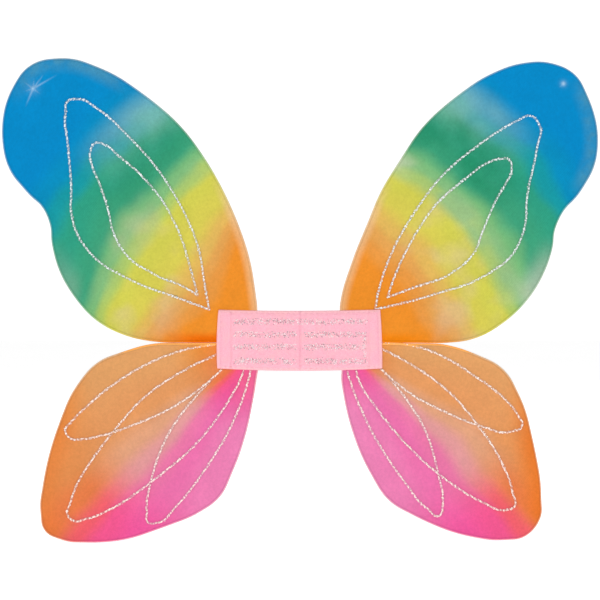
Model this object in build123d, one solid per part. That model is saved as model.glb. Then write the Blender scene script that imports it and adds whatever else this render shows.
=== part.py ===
"""Child's dress-up fairy wings: four wire loops in dyed nylon covers, sewn into a folding felt panel.

The wings stand upright as they are worn, in the XZ plane. The wearer is at +Y, and the decorated
front of the wings faces -Y. The origin is the centre of the panel's back face.
"""
from build123d import *
import math
import os

# ---- driving dimensions, millimetres ----
WIRE_RADIUS = 0.8
NYLON = 0.2
WIRE_SLACK = 0.1
FELT = 1.5
FELT_GAP = 3.0
HEM_WIDTH = 9.8
HEM_RAISE = 0.8
HEM_STITCH_INSET = 2.2
CREASE_HALF = 2.4
FOLD_GAP = 0.2
VEIN_WIDTH = 2.1
VEIN_RAISE = 0.5
VEIN_CLEARANCE = 0.3
PANEL_GLITTER_WIDTH = 4.6
PANEL_GLITTER_RAISE = 0.3
THREAD = 0.4
STITCH_LENGTH = 2.4
STITCH_PITCH = 4.4
STITCH_INSET = 2.2
CREASE_GLITTER_GAP = (12.9, 18.1)
TAPE = 0.35
TIE = 0.25
TIE_WIDTH = 1.2
STRAP_WIDTH = 8.0
STRAP = 1.0
STRAP_X = 62.0

# ---- worked out from them ----
COVER_HALF = WIRE_RADIUS + WIRE_SLACK + NYLON
CAVITY_HALF = WIRE_RADIUS + WIRE_SLACK
WIRE_Y = -(FELT + FELT_GAP / 2)
COVER_FRONT = WIRE_Y - COVER_HALF
FELT_INNER_FRONT = -(FELT + FELT_GAP)
PANEL_FRONT = FELT_INNER_FRONT - FELT
HALF_START = CREASE_HALF + FOLD_GAP

# ---- where the wire tails and the covers end, from the centre line ----
TAIL_END = 8.0
TAPE_SPAN = (11.8, 22.6)
MOUTH = 24.0
TIE_SPAN = (25.0, 25.0 + TIE_WIDTH)

# ---- panel outline, as (x, z): corners and the middle of each bowed side ----
TOP_LEFT = (-68.5, 25.5)
TOP_MIDDLE = (0.0, 24.6)
TOP_RIGHT = (67.5, 25.7)
RIGHT_MIDDLE = (68.8, 1.0)
BOTTOM_RIGHT = (69.2, -24.0)
BOTTOM_MIDDLE = (0.0, -26.0)
BOTTOM_LEFT = (-69.6, -24.0)
LEFT_MIDDLE = (-70.0, 1.0)

# ---- wire loops, as (x, z), hand bent and so no two alike ----
# Each runs from its first tail, round the wing, to its second tail.
WIRE_LOOPS = {
    "left_upper": [
        (-27, 2.2), (-35, 11), (-37.5, 32), (-44, 70), (-53, 97), (-65, 124), (-80, 150.5),
        (-100, 177.5), (-130, 204), (-165, 226), (-197.5, 235.5), (-226, 229.5), (-242, 208),
        (-249, 171.5), (-243, 144), (-228.5, 125), (-214, 110), (-209, 98), (-207, 80),
        (-200.5, 57.5), (-189, 37.5), (-170.5, 17.5), (-145, 4.5), (-118, -0.6), (-95, -1),
        (-71, -0.9), (-27, -0.6),
    ],
    "left_lower": [
        (-27, -4.2), (-71, -3.45), (-95, -3.55), (-108, -3.6), (-119, -3.85), (-128, -5.1), (-145, -9.8),
        (-171, -21),
        (-186, -38), (-203, -75), (-214.5, -119.5), (-217, -143), (-213, -160), (-199, -167), (-176.5, -169),
        (-150, -167), (-115.5, -156.5), (-84.5, -143.5), (-72, -135), (-55, -104), (-46.5, -78.5),
        (-40, -48), (-36.5, -26), (-34.2, -15), (-27, -7.4),
    ],
    "right_upper": [
        (27, 2.2), (33.5, 10), (35, 31), (46.5, 70), (57.5, 97), (69, 124), (85, 150.5),
        (103.5, 177.5), (132.5, 204), (160, 222), (185, 231), (208, 232), (228.5, 223.5),
        (242, 201), (249, 171), (246.5, 148), (235, 126), (218, 105), (213.3, 94), (210.5, 76),
        (205, 59.5), (192.5, 37.5), (173, 17.5), (144, 1.7), (122, -1.25),
        (98, -1.3), (69.5, -1.1), (27, -0.6),
    ],
    "right_lower": [
        (27, -4.2), (71, -3.75), (98, -3.95), (110, -4.1), (119, -4.6), (128, -6.4), (145, -12),
        (170, -25.5), (184, -48.5),
        (195.5, -88.5), (201.5, -130), (200.5, -150), (190, -163), (168, -167), (143, -164),
        (97, -147), (76, -134.5), (59, -109.5), (43, -70), (36.3, -38), (34, -16), (27, -7.4),
    ],
}

# ---- glitter veins, as (x, z): out along one side, round the far end and back ----
UPPER_VEINS = {
    "left_upper_vein_outer": [
        (-76.2, 25.5), (-79, 41), (-87, 83), (-99.5, 111.5), (-118.5, 142), (-143, 170),
        (-168, 192.7), (-186.5, 202.3), (-195, 200.5), (-197, 190), (-194.5, 160), (-192, 127),
        (-192.3, 109), (-185, 85), (-171.5, 68.5), (-139, 49), (-100, 34.5), (-76.2, 25.5),
    ],
    "left_upper_vein_inner": [
        (-86, 37.5), (-91.7, 59.3), (-100, 86.5), (-114, 114.3), (-133, 138), (-152, 154.5),
        (-163, 163.5), (-171.5, 165.5), (-176.3, 157), (-175, 147.5), (-170, 135.5),
        (-161.5, 110.5), (-156.5, 90), (-145, 70.5), (-122, 55), (-95, 43.3), (-86, 37.5),
    ],
    "right_upper_vein_outer": [
        (63, 25.8), (67.3, 46.3), (79, 77.5), (96.3, 107.5), (119, 137.5), (149.5, 163.5),
        (167, 175.5), (181, 183.5), (195, 187.7), (201.2, 180), (198.7, 160), (190.5, 119),
        (188.5, 94.5), (178.5, 72.2), (152.7, 52.7), (112.5, 38.3), (63, 25.8),
    ],
    "right_upper_vein_inner": [
        (73.5, 36), (82.5, 61), (96.5, 88), (112.7, 112), (139.8, 136.2), (155, 147.5),
        (167, 152), (175.5, 151.3), (177.5, 142.5), (172, 130), (165.2, 118.7), (154.7, 94.7),
        (145.5, 72.5), (125.5, 55.2), (96, 44.2), (73.5, 36),
    ],
}
LOWER_VEINS = {
    "left_lower_vein_upper": [
        (-66, -3.6), (-97.5, -8.3), (-130, -21), (-162, -41.3), (-180, -56.5), (-191, -67.5),
        (-197, -76.5), (-193.5, -82), (-181, -83), (-166, -80), (-139.5, -71.2), (-104.5, -55),
        (-80, -37.7), (-64, -23),
    ],
    "left_lower_vein_middle": [
        (-64, -10), (-91.3, -22.2), (-130, -47.5), (-156, -76), (-177, -104), (-186.5, -119.7),
        (-192.5, -136), (-195, -147), (-191, -151.3), (-178, -149.7), (-152.7, -138.5),
        (-123.5, -118), (-85.7, -85.5), (-59.5, -50.3), (-48, -28), (-46, -21),
    ],
    "left_lower_vein_inner": [
        (-60, -20), (-81.5, -41), (-97.5, -59.3), (-111, -80), (-123.5, -112), (-128.5, -143.5),
        (-127, -153.5), (-119.5, -153.5), (-103, -138.5), (-78.5, -107), (-55.5, -67.3),
        (-42.8, -31.5), (-40.5, -20),
    ],
    "right_lower_vein_upper": [
        (64, -3.4), (96.5, -5.2), (127.7, -17.8), (144, -28.5), (160.5, -39.8), (172.5, -50),
        (182.5, -62.3), (186.3, -72.5), (176, -77), (151, -72), (119, -59), (90.5, -43.5),
        (69.5, -25.7), (65, -21),
    ],
    "right_lower_vein_middle": [
        (64, -5.5), (96.5, -22.5), (125, -43.5), (148.3, -70), (168.8, -102), (178.3, -127),
        (179.3, -140.5), (172.5, -142.7), (151, -135), (125, -119), (90.3, -88.5),
        (66.3, -60), (48.5, -31.3), (46, -20),
    ],
    "right_lower_vein_inner": [
        (63.5, -20), (86.5, -46), (104.5, -74.5), (115.5, -110), (119.7, -137.5),
        (117.2, -147.3), (106, -140.7), (86.3, -117), (63, -81.7), (46.3, -46), (38, -20),
    ],
}

# ---- glitter rows on each half of the panel: heights, and their span from the centre line ----
PANEL_ROWS = [15.5, 4.8, -5.7, -17.6]
PANEL_ROW_SPAN = (3.2, 55.6)
PANEL_UPRIGHT_WIDTH = 2.4

# ---- shoulder strap, as (y, z) behind the panel: up, over, down and back in from below ----
STRAP_LOOP = [
    (3, 26.3), (7.5, 38), (22, 45), (40, 36), (51, 14), (54, -14), (49, -42), (35, -63),
    (18, -67), (6.5, -54), (3, -39), (3, -26.3),
]
STRAP_END = 13.0


# ---- planar curves: a chain of (point, direction) stations joined by tangent arcs ----
def unit(x, z):
    length = math.hypot(x, z)
    return (x / length, z / length)


def between(a, b):
    return (b[0] - a[0], b[1] - a[1])


def circle_direction(a, b, c):
    """Direction at b of the circle through a, b and c."""
    before = between(a, b)
    after = between(b, c)
    near = math.hypot(*before)
    far = math.hypot(*after)
    return unit(before[0] / near * far + after[0] / far * near,
                before[1] / near * far + after[1] / far * near)


def meeting_point(p, p_dir, q, q_dir):
    """Where two arcs meet that leave p and reach q in the given directions."""
    across = between(p, q)
    total = (p_dir[0] + q_dir[0], p_dir[1] + q_dir[1])
    reach = across[0] * total[0] + across[1] * total[1]
    square = across[0] ** 2 + across[1] ** 2
    spread = 2 * (1 - p_dir[0] * q_dir[0] - p_dir[1] * q_dir[1])
    if spread < 1e-9:
        arm = square / (2 * reach)
    else:
        arm = (math.sqrt(reach ** 2 + spread * square) - reach) / spread
    return ((p[0] + q[0] + arm * (p_dir[0] - q_dir[0])) / 2,
            (p[1] + q[1] + arm * (p_dir[1] - q_dir[1])) / 2)


def mirrored_direction(direction, p, q):
    """Direction at q of the arc that leaves p in the given direction."""
    chord = unit(*between(p, q))
    along = 2 * (direction[0] * chord[0] + direction[1] * chord[1])
    return (along * chord[0] - direction[0], along * chord[1] - direction[1])


def smooth(points, first=None, last=None):
    """Stations of a smooth open curve through the points."""
    inner = [circle_direction(*three) for three in zip(points, points[1:], points[2:])]
    directions = [first] + inner + [last]
    if first is None:
        directions[0] = mirrored_direction(directions[1], points[1], points[0])
    if last is None:
        directions[-1] = mirrored_direction(directions[-2], points[-2], points[-1])
    stations = [(points[0], directions[0])]
    for i in range(1, len(points)):
        p, p_dir = points[i - 1], directions[i - 1]
        middle = meeting_point(p, p_dir, points[i], directions[i])
        stations.append((middle, mirrored_direction(p_dir, p, middle)))
        stations.append((points[i], directions[i]))
    return stations


def shifted(stations, gap):
    """The same curve, moved to its left by gap."""
    return [((x - gap * dz, z + gap * dx), (dx, dz)) for (x, z), (dx, dz) in stations]


def front_view(y):
    """Places (x, z) points on the upright plane at depth y."""
    return lambda point: (point[0], y, point[1])


def side_view(x):
    """Places (y, z) points on the upright plane at x."""
    return lambda point: (x, point[0], point[1])


def edges_of(stations, place):
    """One arc, or one straight line, between each pair of stations."""
    edges = []
    for (p, p_dir), (q, _) in zip(stations, stations[1:]):
        chord = unit(*between(p, q))
        length = math.dist(p, q)
        sine = chord[0] * p_dir[1] - chord[1] * p_dir[0]
        cosine = chord[0] * p_dir[0] + chord[1] * p_dir[1]
        bulge = length / 2 * math.tan(math.atan2(sine, cosine) / 2)
        middle = ((p[0] + q[0]) / 2 - bulge * chord[1], (p[1] + q[1]) / 2 + bulge * chord[0])
        if abs(bulge) < 1e-4:
            edges.append(Edge.make_line(place(p), place(q)))
        else:
            edges.append(Edge.make_three_point_arc(place(p), place(middle), place(q)))
    return edges


def ribbon_face(stations, width, place):
    """A flat band of even width along an open curve."""
    one = shifted(stations, width / 2)
    other = shifted(stations, -width / 2)
    ends = [Edge.make_line(place(one[i][0]), place(other[i][0])) for i in (0, -1)]
    return Face(Wire(edges_of(one, place) + edges_of(other, place) + ends))


def box(x, y, z):
    """A block from its (low, high) span along each axis."""
    size = [high - low for low, high in (x, y, z)]
    centre = [(low + high) / 2 for low, high in (x, y, z)]
    return Pos(*centre) * Box(*size)


# ---- wings ----
def side_of(name):
    return -1 if name.startswith("left") else 1


def loop_stations(name, end):
    """Centre line of a wire loop whose two tails run in straight to x = end."""
    side = side_of(name)
    points = WIRE_LOOPS[name]
    first = ((side * end, points[0][1]), (side, 0))
    last = ((side * end, points[-1][1]), (-side, 0))
    return [first] + smooth(points, (side, 0), (-side, 0)) + [last]


def wire_loop(name):
    stations = loop_stations(name, TAIL_END)
    path = Wire(edges_of(stations, front_view(WIRE_Y)))
    start = Plane(origin=(stations[0][0][0], WIRE_Y, stations[0][0][1]), z_dir=(side_of(name), 0, 0))
    return sweep(start * Circle(WIRE_RADIUS), path=path)


def loop_slab(name, outset, half_thickness):
    """The area inside a wire loop, grown by outset, as a flat slab."""
    place = front_view(WIRE_Y)
    rim = shifted(loop_stations(name, MOUTH), side_of(name) * outset)
    closing = Edge.make_line(place(rim[0][0]), place(rim[-1][0]))
    face = Face(Wire(edges_of(rim, place) + [closing]))
    return extrude(face, half_thickness, dir=(0, -1, 0), both=True)


def nylon_cover(name):
    """A hollow bag around the wire loop, open at its mouth in the middle of the panel."""
    cavity = loop_slab(name, CAVITY_HALF, CAVITY_HALF)
    points = WIRE_LOOPS[name]
    low, high = sorted((points[0][1], points[-1][1]))
    mouth = box(outward_span(side_of(name), (MOUTH - 1, MOUTH + 1)),
                (WIRE_Y - CAVITY_HALF, WIRE_Y + CAVITY_HALF), (low - CAVITY_HALF, high + CAVITY_HALF))
    return loop_slab(name, COVER_HALF, COVER_HALF) - cavity - mouth


def sleeve(x, z, half_depth, wall):
    """A band wrapped round a flat bundle: x is its own span, z the span that it encloses."""
    outer = box(x, (WIRE_Y - half_depth - wall, WIRE_Y + half_depth + wall), (z[0] - wall, z[1] + wall))
    inner = box((x[0] - 1, x[1] + 1), (WIRE_Y - half_depth, WIRE_Y + half_depth), z)
    corners = outer.edges().filter_by(Axis.X)
    return fillet(corners, wall * 0.9) - inner


def outward_span(side, span):
    return tuple(sorted((side * span[0], side * span[1])))


def gather_tie(name):
    points = WIRE_LOOPS[name]
    low, high = sorted((points[0][1], points[-1][1]))
    reach = COVER_HALF + 0.1
    return sleeve(outward_span(side_of(name), TIE_SPAN), (low - reach, high + reach), COVER_HALF + 0.05, TIE)


def binding_tape(side):
    name = "left" if side < 0 else "right"
    low = WIRE_LOOPS[name + "_lower"][-1][1] - WIRE_RADIUS - 0.1
    high = WIRE_LOOPS[name + "_upper"][0][1] + WIRE_RADIUS + 0.1
    return sleeve(outward_span(side, TAPE_SPAN), (low, high), WIRE_RADIUS + 0.05, TAPE)


def vein(points, width=VEIN_WIDTH, depth=VEIN_RAISE):
    """A raised glitter line: one ribbon out to its far end and one back, joined."""
    place = front_view(COVER_FRONT)
    stations = smooth(points)
    start = stations[0][0]
    turn = max(range(len(stations)), key=lambda i: math.dist(stations[i][0], start))
    legs = [extrude(ribbon_face(leg, width, place), depth, dir=(0, -1, 0))
            for leg in (stations[:turn + 1], stations[turn:])]
    line = legs[0] + legs[1]
    if math.dist(points[0], points[-1]) < width:
        tip = Plane(origin=place(points[0]), z_dir=(0, -1, 0)) * Circle(width / 2)
        line += extrude(tip, depth)
    return line


def upper_vein(points):
    return vein(points) - panel_slab(COVER_FRONT + 1, COVER_FRONT - 2, grow=VEIN_CLEARANCE)


def lower_veins(side):
    """The three lines of one lower wing: each stops where it meets an earlier one or the panel."""
    names = [name for name in LOWER_VEINS if side_of(name) == side]
    panel = panel_slab(COVER_FRONT + 1, COVER_FRONT - 2, grow=VEIN_CLEARANCE)
    veins = {}
    for i, name in enumerate(names):
        line = vein(LOWER_VEINS[name]) - panel
        for earlier in names[:i]:
            line -= vein(LOWER_VEINS[earlier], VEIN_WIDTH + 0.1, VEIN_RAISE * 2)
        veins[name] = [solid for solid in line.solids() if solid.volume > 2]
    return veins


# ---- felt panel ----
def panel_slab(y_start, y_end, grow=0.0):
    """The panel's outline between two depths, with softly rounded corners."""
    place = front_view(y_start)
    bows = [
        (TOP_LEFT, LEFT_MIDDLE, BOTTOM_LEFT), (BOTTOM_LEFT, BOTTOM_MIDDLE, BOTTOM_RIGHT),
        (BOTTOM_RIGHT, RIGHT_MIDDLE, TOP_RIGHT), (TOP_RIGHT, TOP_MIDDLE, TOP_LEFT),
    ]
    face = Face(Wire([Edge.make_three_point_arc(*map(place, bow)) for bow in bows]))
    slab = extrude(face, y_start - y_end, dir=(0, -1, 0))
    slab = fillet(slab.edges().filter_by(Axis.Y), 1.2)
    return offset(slab, grow) if grow else slab


def half_of(solid, side):
    return solid & box(outward_span(side, (HALF_START, 100)), (-20, 20), (-60, 60))


def crease_of(solid):
    return solid & box((-CREASE_HALF, CREASE_HALF), (-20, 20), (-60, 60))


def front_felt():
    """The front layer, with its folded hem standing a little proud at each end."""
    sheet = panel_slab(FELT_INNER_FRONT, PANEL_FRONT)
    hem_start = TOP_RIGHT[0] - HEM_WIDTH
    raised = panel_slab(PANEL_FRONT, PANEL_FRONT - HEM_RAISE)
    raised -= box((-hem_start, hem_start), (-20, 20), (-60, 60))
    return sheet + raised


def back_felt():
    return panel_slab(0, -FELT)


def edge_height(x, middle, corner):
    """Height of the panel's bowed top or bottom edge at x."""
    return middle[1] + (corner[1] - middle[1]) * (x / corner[0]) ** 2


def stitch(a, b, surface):
    """The length of thread that shows between two holes, (x, z), lying on a surface of the front felt."""
    angle = math.degrees(math.atan2(b[1] - a[1], b[0] - a[0]))
    centre = Pos((a[0] + b[0]) / 2, surface - THREAD / 2, (a[1] + b[1]) / 2)
    return centre * Rot(0, -angle, 0) * Box(math.dist(a, b), THREAD, THREAD)


def stitch_row(start, end, gap, place, surface=PANEL_FRONT):
    """Stitches from start to end, leaving out those in the gap, where a wire is underneath."""
    row = []
    for i in range(int((end - start) / STITCH_PITCH)):
        first = start + i * STITCH_PITCH
        last = first + STITCH_LENGTH
        if last < gap[0] or first > gap[1]:
            row.append(stitch(place(first), place(last), surface))
    return row


def panel_stitches(side):
    corners = (TOP_LEFT, BOTTOM_LEFT) if side < 0 else (TOP_RIGHT, BOTTOM_RIGHT)
    wire_legs = (32.5, 38.5)
    wire_tails = (-7.0, 2.0)

    def top(x):
        return (side * x, edge_height(side * x, TOP_MIDDLE, corners[0]) - STITCH_INSET)

    def bottom(x):
        return (side * x, edge_height(side * x, BOTTOM_MIDDLE, corners[1]) + STITCH_INSET)

    def end(z):
        return (side * (TOP_RIGHT[0] - HEM_STITCH_INSET), z)

    run = (4, TOP_RIGHT[0] - HEM_WIDTH)
    return (stitch_row(*run, wire_legs, top) + stitch_row(*run, wire_legs, bottom)
            + stitch_row(-21, 22, wire_tails, end, PANEL_FRONT - HEM_RAISE))


def crease_stitches():
    return stitch_row(-23.5, 22.4, CREASE_GLITTER_GAP, lambda z: (0, z))


def glitter_bar(x, z):
    return box(x, (PANEL_FRONT - PANEL_GLITTER_RAISE, PANEL_FRONT), z)


def row_span(height):
    return (height - PANEL_GLITTER_WIDTH / 2, height + PANEL_GLITTER_WIDTH / 2)


def panel_glitter(side):
    """Four level rows; on the right, the lower three are joined by an upright at their ends."""
    span = outward_span(side, PANEL_ROW_SPAN)
    rows = [glitter_bar(span, row_span(height)) for height in PANEL_ROWS]
    if side > 0:
        upright = (span[1] - PANEL_UPRIGHT_WIDTH, span[1])
        rows.append(glitter_bar(upright, (PANEL_ROWS[3], PANEL_ROWS[1])))
    return rows[0].fuse(*rows[1:])


def crease_glitter():
    return glitter_bar((-CREASE_HALF, CREASE_HALF), row_span(PANEL_ROWS[0]))


# ---- shoulder straps ----
def strap_loop(side):
    stations = smooth(STRAP_LOOP, (0, 1), (0, 1))
    face = ribbon_face(stations, STRAP, side_view(side * STRAP_X))
    return extrude(face, STRAP_WIDTH / 2, dir=(1, 0, 0), both=True)


def strap_ends(side):
    span = (side * STRAP_X - STRAP_WIDTH / 2, side * STRAP_X + STRAP_WIDTH / 2)
    top = TOP_LEFT[1] - 0.5
    bottom = BOTTOM_LEFT[1] + 0.2
    heights = [(top - STRAP_END, top), (bottom, bottom + STRAP_END)]
    return [box(span, (0, STRAP), height) for height in heights]


def bar_tacks(side):
    span = (side * STRAP_X - STRAP_WIDTH / 2 + 1, side * STRAP_X + STRAP_WIDTH / 2 - 1)
    heights = [s * (STRAP_END + gap) for s in (-1, 1) for gap in (1.5, 7.5)]
    return [box(span, (STRAP, STRAP + 0.3), (z - 0.6, z + 0.6)) for z in heights]


# ---- the whole object ----
def build_nodes():
    nodes = {}
    for name in WIRE_LOOPS:
        nodes[name + "_wire"] = wire_loop(name)
        nodes[name + "_cover"] = nylon_cover(name)
        nodes[name + "_gather_tie"] = gather_tie(name)
    for name, points in UPPER_VEINS.items():
        nodes[name] = upper_vein(points)
    front = front_felt()
    back = back_felt()
    nodes["crease_front_felt"] = crease_of(front)
    nodes["crease_back_felt"] = crease_of(back)
    nodes["crease_stitches"] = crease_stitches()
    nodes["crease_glitter"] = crease_glitter()
    for side, word in ((-1, "left"), (1, "right")):
        nodes.update(lower_veins(side))
        nodes[word + "_front_felt"] = half_of(front, side)
        nodes[word + "_back_felt"] = half_of(back, side)
        nodes[word + "_panel_stitches"] = panel_stitches(side)
        nodes[word + "_panel_glitter"] = panel_glitter(side)
        nodes[word + "_binding_tape"] = binding_tape(side)
        nodes[word + "_strap_loop"] = strap_loop(side)
        nodes[word + "_strap_ends"] = strap_ends(side)
        nodes[word + "_bar_tacks"] = bar_tacks(side)
    return nodes


def main():
    os.makedirs("parts", exist_ok=True)
    for name, shape in build_nodes().items():
        solids = shape if isinstance(shape, list) else shape.solids()
        export_step(Compound(children=list(solids)), f"parts/{name}.step")
    strap_length = sum(edge.length for edge in edges_of(smooth(STRAP_LOOP, (0, 1), (0, 1)), side_view(0)))
    print("free length of each shoulder strap, mm:", round(strap_length, 1))


main()
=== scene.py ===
import math

import bmesh
import bpy
import numpy as np
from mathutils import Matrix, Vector, geometry


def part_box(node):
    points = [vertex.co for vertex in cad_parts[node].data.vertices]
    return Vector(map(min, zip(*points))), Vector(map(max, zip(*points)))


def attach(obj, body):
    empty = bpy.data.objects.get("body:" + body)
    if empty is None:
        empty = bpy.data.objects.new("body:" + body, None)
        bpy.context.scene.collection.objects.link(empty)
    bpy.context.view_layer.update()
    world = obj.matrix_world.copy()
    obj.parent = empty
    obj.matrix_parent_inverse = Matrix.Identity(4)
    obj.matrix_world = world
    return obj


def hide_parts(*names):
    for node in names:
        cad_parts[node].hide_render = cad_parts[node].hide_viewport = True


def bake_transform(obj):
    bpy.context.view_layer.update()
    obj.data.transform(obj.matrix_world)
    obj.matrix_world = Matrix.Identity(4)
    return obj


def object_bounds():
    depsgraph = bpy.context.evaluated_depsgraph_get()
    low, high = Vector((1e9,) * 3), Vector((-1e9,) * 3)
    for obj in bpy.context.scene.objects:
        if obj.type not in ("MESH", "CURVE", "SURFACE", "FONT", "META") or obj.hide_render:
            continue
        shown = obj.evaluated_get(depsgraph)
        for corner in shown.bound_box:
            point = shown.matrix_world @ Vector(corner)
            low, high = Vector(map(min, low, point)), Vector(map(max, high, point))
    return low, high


# A child's dress-up fairy wings: four dyed nylon covers stretched over wire loops, glitter lines
# on their fronts, a felt panel that folds down its middle, and an elastic shoulder strap each side.
# The frame is metres, +Z up, with the decorated front facing -Y. Shapes here are worked out in
# millimetres, on (x, z) points with a depth y, and turned into metres when a mesh is made.

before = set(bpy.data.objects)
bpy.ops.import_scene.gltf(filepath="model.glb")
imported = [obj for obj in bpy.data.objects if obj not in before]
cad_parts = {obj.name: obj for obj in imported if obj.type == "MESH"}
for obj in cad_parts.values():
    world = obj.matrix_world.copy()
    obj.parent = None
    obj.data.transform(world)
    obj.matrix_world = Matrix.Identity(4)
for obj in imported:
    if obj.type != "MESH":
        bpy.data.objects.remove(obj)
cad_low, cad_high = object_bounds()

MM = 0.001
SIDES = {"left": -1, "right": 1}
WAVE_COUNT = 9

# ---- depths, millimetres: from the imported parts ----
WIRE_Y = (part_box("left_upper_wire")[0].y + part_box("left_upper_wire")[1].y) / 2 / MM
COVER_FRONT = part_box("left_upper_cover")[0].y / MM
VEIN_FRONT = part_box("left_upper_vein_outer")[0].y / MM
FELT_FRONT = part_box("crease_front_felt")[0].y / MM
FELT_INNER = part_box("left_front_felt")[1].y / MM
FELT_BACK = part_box("left_back_felt")[1].y / MM
GLITTER_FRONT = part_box("left_panel_glitter")[0].y / MM
STRAP_X = (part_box("right_strap_loop")[0].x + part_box("right_strap_loop")[1].x) / 2 / MM

# ---- nylon ----
RIM_RADIUS = WIRE_Y - COVER_FRONT
NYLON_HALF = 0.6
NYLON_EASE = 0.12
RIM_FALL = 2.2
RIM_RINGS = (0.16, 0.5, 1.1, 1.7, 2.4, 3.4)
NYLON_SPACING = 4.0
PUCKER_SPACING = 0.9
THROAT = (34.0, 8.0)
LOWER_THROAT = (34.0, -4.0)

# ---- glitter ----
BEAD_BASE = WIRE_Y - NYLON_HALF + 0.2
BEAD_HALF_WIDTH = 1.05
BEAD_RINGS = (0.2, 0.55, 1.0)
BEAD_SPACING = 1.5
WELL_INSIDE = 30.0
GRAIN_DENSITY = 1.5
GRAIN_SIZE = (0.28, 0.62)
STREWN_DENSITY = 2.7
STREWN_PATCHINESS = 0.62
STREWN_STRAY = 0.45
STREWN_SIZE = (0.22, 0.5)

# ---- felt panel ----
FELT_SPACING = 1.6
FELT_RINGS = (0.12, 0.4, 0.9, 1.6, 2.3, 3.0)
STITCH_PITCH = 4.4
STITCH_LENGTH = 2.5
STITCH_INSET = 2.2
HEM_STEP = 0.2
HEM_STITCH_INSET = 3.6
THREAD_RADIUS = 0.22
EDGE_STITCHES = 14
END_STITCHES = 10
EDGE_STITCH_START = 4.0
HEM_STITCH_FOOT = -21.4
CREASE_STITCH_FOOT = -23.2

# ---- shoulder strap, as (y, z) behind the panel: sewn on, up, over, down and sewn on again ----
STRAP_ROUTE = [
    (0.55, 12), (0.55, 17), (0.6, 21.5), (1.2, 25), (3.4, 30.5), (9, 39), (22, 45), (40, 36), (51, 14),
    (54, -14), (49, -42), (35, -63), (18, -67), (6.5, -54), (3, -39), (1.4, -28), (0.6, -21.5),
    (0.55, -17), (0.55, -10.8),
]
STRAP_WIDTH = 8.0
STRAP_HALF = 0.42
STRAP_RIB = 0.09
STRAP_RIBS = 6
TACK_PASSES = 15
TACK_LEAN = 0.2
TACK_ARCH = 0.34
TACK_HALF = 0.95
TACK_THREAD = 0.2


# ---- planar helpers: points are rows of (x, z), and a segment is a pair of them ----
def smoothstep(t):
    t = np.clip(t, 0, 1)
    return t * t * (3 - 2 * t)


def hump(value, width):
    """1 where value is 0, falling smoothly to nothing either side."""
    return np.exp(-(value / width) ** 2)


def unit(rows):
    """Vectors, one in each row, made one long."""
    return rows / np.linalg.norm(rows, axis=1)[:, None]


def rounded(depth, radius):
    """How far a round edge falls back: 1 at the very edge, 0 from one radius in."""
    return 1 - np.sqrt(1 - (1 - np.clip(depth / radius, 0, 1)) ** 2)


def waves(points, length, seed):
    """Smooth random relief, about -1 to 1, whose bumps are about length apart."""
    draw = np.random.default_rng(seed)
    angle = draw.uniform(0, 2 * np.pi, WAVE_COUNT)
    rate = 2 * np.pi / (length * draw.uniform(0.7, 1.5, WAVE_COUNT))
    phase = draw.uniform(0, 2 * np.pi, WAVE_COUNT)
    along = points[:, :1] * np.cos(angle) + points[:, 1:2] * np.sin(angle)
    return 1.7 * np.sin(along * rate + phase).mean(axis=1)


def outlines(node, level):
    """The loops round a CAD node's flat faces at depth y = level."""
    mesh = bmesh.new()
    mesh.from_mesh(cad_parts[node].data)
    bmesh.ops.remove_doubles(mesh, verts=mesh.verts, dist=1e-6)
    flat = {face for face in mesh.faces if all(abs(v.co.y / MM - level) < 0.01 for v in face.verts)}
    links = {}
    for edge in mesh.edges:
        if sum(face in flat for face in edge.link_faces) == 1:
            a, b = edge.verts
            links.setdefault(a, []).append(b)
            links.setdefault(b, []).append(a)
    loops = []
    while links:
        loop, before, here = [], None, next(iter(links))
        while here in links:
            loop.append((here.co.x / MM, here.co.z / MM))
            one, other = links.pop(here)
            before, here = here, (other if one is before else one)
        loops.append(np.array(loop))
    mesh.free()
    return loops


def refined(loop, spacing):
    """The loop with points added, so that none are further apart than spacing."""
    after = np.roll(loop, -1, axis=0)
    counts = np.ceil(np.linalg.norm(after - loop, axis=1) / spacing).astype(int)
    runs = [a + (b - a) * np.arange(n)[:, None] / n for a, b, n in zip(loop, after, counts)]
    return np.concatenate(runs)


def segments(loops):
    return np.concatenate([np.stack([loop, np.roll(loop, -1, axis=0)], axis=1) for loop in loops])


def inside(points, segs):
    """Which points are inside the loops, by the number of segments to their right."""
    a, b = segs[:, 0], segs[:, 1]
    rise = np.where(a[:, 1] == b[:, 1], 1.0, b[:, 1] - a[:, 1])
    found = []
    for some in np.array_split(points, len(points) // 2000 + 1):
        x, z = some[:, :1], some[:, 1:2]
        crosses = (a[:, 1] > z) != (b[:, 1] > z)
        at = a[:, 0] + (z - a[:, 1]) / rise * (b[:, 0] - a[:, 0])
        found.append((crosses & (x < at)).sum(axis=1) % 2 == 1)
    return np.concatenate(found)


def distance(points, segs):
    """How far each point is from the nearest segment."""
    a, ab = segs[:, 0], segs[:, 1] - segs[:, 0]
    found = []
    for some in np.array_split(points, len(points) // 1000 + 1):
        ap = some[:, None] - a
        t = np.clip((ap * ab).sum(axis=-1) / (ab * ab).sum(axis=-1), 0, 1)
        found.append(np.linalg.norm(ap - t[..., None] * ab, axis=-1).min(axis=1))
    return np.concatenate(found)


def normals(loop):
    """A direction square to the loop at each of its points, all to the same side."""
    ahead = np.roll(loop, -1, axis=0) - np.roll(loop, 1, axis=0)
    return unit(np.stack([-ahead[:, 1], ahead[:, 0]], axis=1))


def signed_area(loop):
    """The loop's area, positive where it runs anticlockwise as seen from the front."""
    x, z = loop[:, 0], loop[:, 1]
    return (np.dot(x, np.roll(z, -1)) - np.dot(z, np.roll(x, -1))) / 2


def grown(loop, by):
    """The loop moved outward a little."""
    return loop - math.copysign(by, signed_area(loop)) * normals(loop)


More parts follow.
